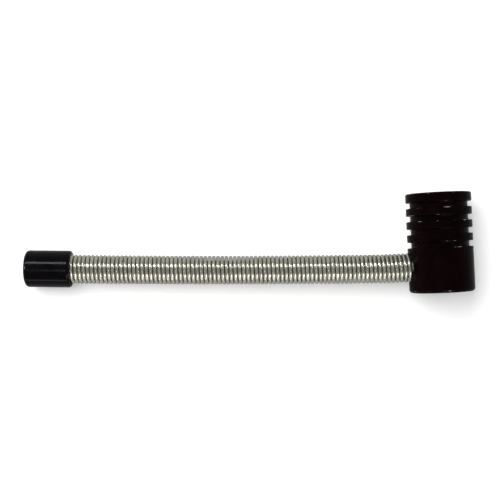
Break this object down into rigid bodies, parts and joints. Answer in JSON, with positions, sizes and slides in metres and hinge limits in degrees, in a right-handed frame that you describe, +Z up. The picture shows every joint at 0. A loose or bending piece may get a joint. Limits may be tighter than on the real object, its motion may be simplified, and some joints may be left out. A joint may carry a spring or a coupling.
{
  "type": "spring-stem smoking pipe",
  "caption": "Small metal smoking pipe: ringed black cylindrical bowl, bendable coil-spring stem with an inner hose, black screw-on mouthpiece.",
  "frame": {"origin": "middle of the bounding box's underside, on the surface that the pipe lies on", "axes": "+Z up; +Y along the bowl's axis, from its base towards its mouth; +X along the pipe's length, from the mouthpiece towards the bowl"},
  "size_m": [0.1174, 0.0258, 0.017],
  "materials": {
    "black_anodised": "glossy black anodised",
    "spring_wire": "bright plated spring wire with a warm tint",
    "hose_rubber": "dark smooth hose",
    "fitting_nickel": "brass with dull nickel plating",
    "sealing_rubber": "matt sealing washer",
    "screen_mesh": "woven wire"
  },
  "bodies": {
    "bowl": {"bowl": "black_anodised"},
    "screen": {"screen": "screen_mesh"},
    "bowl_washer": {"bowl_washer": "sealing_rubber"},
    "bowl_fitting": {"bowl_nipple": "fitting_nickel", "spring_00": "spring_wire", "hose_00": "hose_rubber"},
    "link_01": {"spring_01": "spring_wire", "hose_01": "hose_rubber"},
    "link_02": {"spring_02": "spring_wire", "hose_02": "hose_rubber"},
    "link_03": {"spring_03": "spring_wire", "hose_03": "hose_rubber"},
    "link_04": {"spring_04": "spring_wire", "hose_04": "hose_rubber"},
    "link_05": {"spring_05": "spring_wire", "hose_05": "hose_rubber"},
    "link_06": {"spring_06": "spring_wire", "hose_06": "hose_rubber"},
    "link_07": {"spring_07": "spring_wire", "hose_07": "hose_rubber"},
    "link_08": {"spring_08": "spring_wire", "hose_08": "hose_rubber"},
    "link_09": {"spring_09": "spring_wire", "hose_09": "hose_rubber"},
    "link_10": {"spring_10": "spring_wire", "hose_10": "hose_rubber"},
    "link_11": {"spring_11": "spring_wire", "hose_11": "hose_rubber"},
    "link_12": {"spring_12": "spring_wire", "hose_12": "hose_rubber"},
    "link_13": {"spring_13": "spring_wire", "hose_13": "hose_rubber"},
    "link_14": {"spring_14": "spring_wire", "hose_14": "hose_rubber"},
    "link_15": {"spring_15": "spring_wire", "hose_15": "hose_rubber"},
    "mouth_fitting": {"mouth_nipple": "fitting_nickel", "spring_16": "spring_wire", "hose_16": "hose_rubber"},
    "mouth_washer": {"mouth_washer": "sealing_rubber"},
    "mouthpiece": {"mouthpiece": "black_anodised"}
  },
  "joints": [
    {"name": "screen_lift", "type": "slide", "parent": "bowl", "child": "screen", "axis": [0, 1, 0], "range_m": [0, 0.0156]},
    {"name": "stem_advance", "type": "slide", "parent": "bowl", "child": "bowl_washer", "axis": [-0.9994, 0, -0.0339], "range_m": [0, 0.003]},
    {"name": "stem_screw", "type": "hinge", "parent": "bowl_washer", "child": "bowl_fitting", "pos_m": [0.0417, -0.0062, 0.00821], "axis": [-0.9994, 0, -0.0339], "range_deg": [0, 1440]},
    {"name": "bend_1", "type": "hinge", "parent": "bowl_fitting", "child": "link_01", "pos_m": [0.0354, -0.0062, 0.008], "axis": [0.0339, 0, -0.9994], "range_deg": [-11.25, 11.25], "stiffness_Nm_per_rad": 0.02, "deforming": ["spring_00", "hose_00"]},
    {"name": "lift_1", "type": "hinge", "parent": "link_01", "child": "link_02", "pos_m": [0.03038, -0.00604, 0.00783], "axis": [0.0339, 0.9994, 0.0011], "range_deg": [-11.25, 11.25], "stiffness_Nm_per_rad": 0.02, "deforming": ["spring_01", "hose_01"]},
    {"name": "bend_2", "type": "hinge", "parent": "link_02", "child": "link_03", "pos_m": [0.02535, -0.00587, 0.00766], "axis": [0.0339, 0, -0.9994], "range_deg": [-11.25, 11.25], "stiffness_Nm_per_rad": 0.02, "deforming": ["spring_02", "hose_02"]},
    {"name": "lift_2", "type": "hinge", "parent": "link_03", "child": "link_04", "pos_m": [0.02032, -0.00569, 0.00749], "axis": [0.0371, 0.9993, 0.0013], "range_deg": [-11.25, 11.25], "stiffness_Nm_per_rad": 0.02, "deforming": ["spring_03", "hose_03"]},
    {"name": "bend_3", "type": "hinge", "parent": "link_04", "child": "link_05", "pos_m": [0.01529, -0.0055, 0.00732], "axis": [0.0339, 0, -0.9994], "range_deg": [-11.25, 11.25], "stiffness_Nm_per_rad": 0.02, "deforming": ["spring_04", "hose_04"]},
    {"name": "lift_3", "type": "hinge", "parent": "link_05", "child": "link_06", "pos_m": [0.01027, -0.00531, 0.00715], "axis": [0.0404, 0.9992, 0.0014], "range_deg": [-11.25, 11.25], "stiffness_Nm_per_rad": 0.02, "deforming": ["spring_05", "hose_05"]},
    {"name": "bend_4", "type": "hinge", "parent": "link_06", "child": "link_07", "pos_m": [0.00524, -0.0051, 0.00697], "axis": [0.0339, 0, -0.9994], "range_deg": [-11.25, 11.25], "stiffness_Nm_per_rad": 0.02, "deforming": ["spring_06", "hose_06"]},
    {"name": "lift_4", "type": "hinge", "parent": "link_07", "child": "link_08", "pos_m": [0.00022, -0.00489, 0.0068], "axis": [0.0437, 0.999, 0.0015], "range_deg": [-11.25, 11.25], "stiffness_Nm_per_rad": 0.02, "deforming": ["spring_07", "hose_07"]},
    {"name": "bend_5", "type": "hinge", "parent": "link_08", "child": "link_09", "pos_m": [-0.00481, -0.00467, 0.00663], "axis": [0.0339, 0, -0.9994], "range_deg": [-11.25, 11.25], "stiffness_Nm_per_rad": 0.02, "deforming": ["spring_08", "hose_08"]},
    {"name": "lift_5", "type": "hinge", "parent": "link_09", "child": "link_10", "pos_m": [-0.00984, -0.00444, 0.00646], "axis": [0.0469, 0.9989, 0.0016], "range_deg": [-11.25, 11.25], "stiffness_Nm_per_rad": 0.02, "deforming": ["spring_09", "hose_09"]},
    {"name": "bend_6", "type": "hinge", "parent": "link_10", "child": "link_11", "pos_m": [-0.01486, -0.00421, 0.00629], "axis": [0.0339, 0, -0.9994], "range_deg": [-11.25, 11.25], "stiffness_Nm_per_rad": 0.02, "deforming": ["spring_10", "hose_10"]},
    {"name": "lift_6", "type": "hinge", "parent": "link_11", "child": "link_12", "pos_m": [-0.01989, -0.00396, 0.00612], "axis": [0.0502, 0.9987, 0.0017], "range_deg": [-11.25, 11.25], "stiffness_Nm_per_rad": 0.02, "deforming": ["spring_11", "hose_11"]},
    {"name": "bend_7", "type": "hinge", "parent": "link_12", "child": "link_13", "pos_m": [-0.02491, -0.00371, 0.00595], "axis": [0.0339, 0, -0.9994], "range_deg": [-11.25, 11.25], "stiffness_Nm_per_rad": 0.02, "deforming": ["spring_12", "hose_12"]},
    {"name": "lift_7", "type": "hinge", "parent": "link_13", "child": "link_14", "pos_m": [-0.02993, -0.00345, 0.00578], "axis": [0.0534, 0.9986, 0.0018], "range_deg": [-11.25, 11.25], "stiffness_Nm_per_rad": 0.02, "deforming": ["spring_13", "hose_13"]},
    {"name": "bend_8", "type": "hinge", "parent": "link_14", "child": "link_15", "pos_m": [-0.03496, -0.00318, 0.00561], "axis": [0.0339, 0, -0.9994], "range_deg": [-11.25, 11.25], "stiffness_Nm_per_rad": 0.02, "deforming": ["spring_14", "hose_14"]},
    {"name": "lift_8", "type": "hinge", "parent": "link_15", "child": "mouth_fitting", "pos_m": [-0.03998, -0.0029, 0.00544], "axis": [0.0567, 0.9984, 0.0019], "range_deg": [-11.25, 11.25], "stiffness_Nm_per_rad": 0.02, "deforming": ["spring_15", "hose_15", "spring_16", "hose_16"]},
    {"name": "mouth_advance", "type": "slide", "parent": "mouth_fitting", "child": "mouth_washer", "axis": [-0.9978, 0.0567, -0.0339], "range_m": [0, 0.003]},
    {"name": "mouth_screw", "type": "hinge", "parent": "mouth_washer", "child": "mouthpiece", "pos_m": [-0.05165, -0.00224, 0.00504], "axis": [-0.9978, 0.0567, -0.0339], "range_deg": [0, 1440]}
  ],
  "couplings": [
    {"joint": "stem_screw", "follows": "stem_advance", "rad_per_m": 8377.6},
    {"joint": "bend_2", "follows": "bend_1", "ratio": 1},
    {"joint": "lift_2", "follows": "lift_1", "ratio": 1},
    {"joint": "bend_3", "follows": "bend_1", "ratio": 1},
    {"joint": "lift_3", "follows": "lift_1", "ratio": 1},
    {"joint": "bend_4", "follows": "bend_1", "ratio": 1},
    {"joint": "lift_4", "follows": "lift_1", "ratio": 1},
    {"joint": "bend_5", "follows": "bend_1", "ratio": 1},
    {"joint": "lift_5", "follows": "lift_1", "ratio": 1},
    {"joint": "bend_6", "follows": "bend_1", "ratio": 1},
    {"joint": "lift_6", "follows": "lift_1", "ratio": 1},
    {"joint": "bend_7", "follows": "bend_1", "ratio": 1},
    {"joint": "lift_7", "follows": "lift_1", "ratio": 1},
    {"joint": "bend_8", "follows": "bend_1", "ratio": 1},
    {"joint": "lift_8", "follows": "lift_1", "ratio": 1},
    {"joint": "mouth_screw", "follows": "mouth_advance", "rad_per_m": 8377.6}
  ]
}
